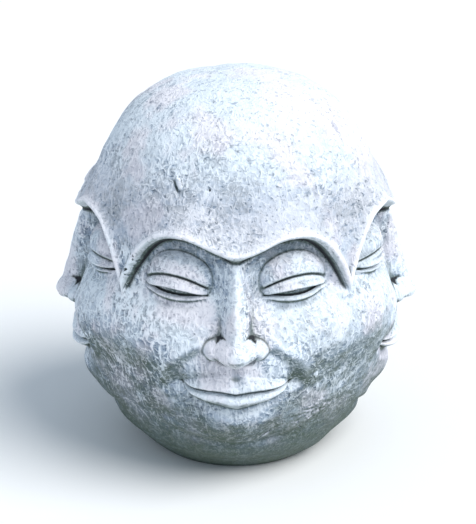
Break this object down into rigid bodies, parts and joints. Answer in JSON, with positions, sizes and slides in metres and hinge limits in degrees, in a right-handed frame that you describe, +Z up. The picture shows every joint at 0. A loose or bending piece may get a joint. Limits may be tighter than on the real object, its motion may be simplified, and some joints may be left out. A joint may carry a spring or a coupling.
{
  "type": "four-faced buddha statue",
  "caption": "Round, domed head of cast stone with a calm face on every side, which stands on its flat underside as a garden ornament.",
  "frame": {"origin": "middle of the flat underside", "axes": "+Z up to the crown; the first face looks along -Y, and the others along +X, +Y and -X"},
  "size_m": [0.3058, 0.3058, 0.3199],
  "materials": {
    "cast_stone": "rough blue-grey cast stone, dry-brushed with white"
  },
  "bodies": {
    "root": {"four_faced_head": "cast_stone"}
  },
  "joints": []
}
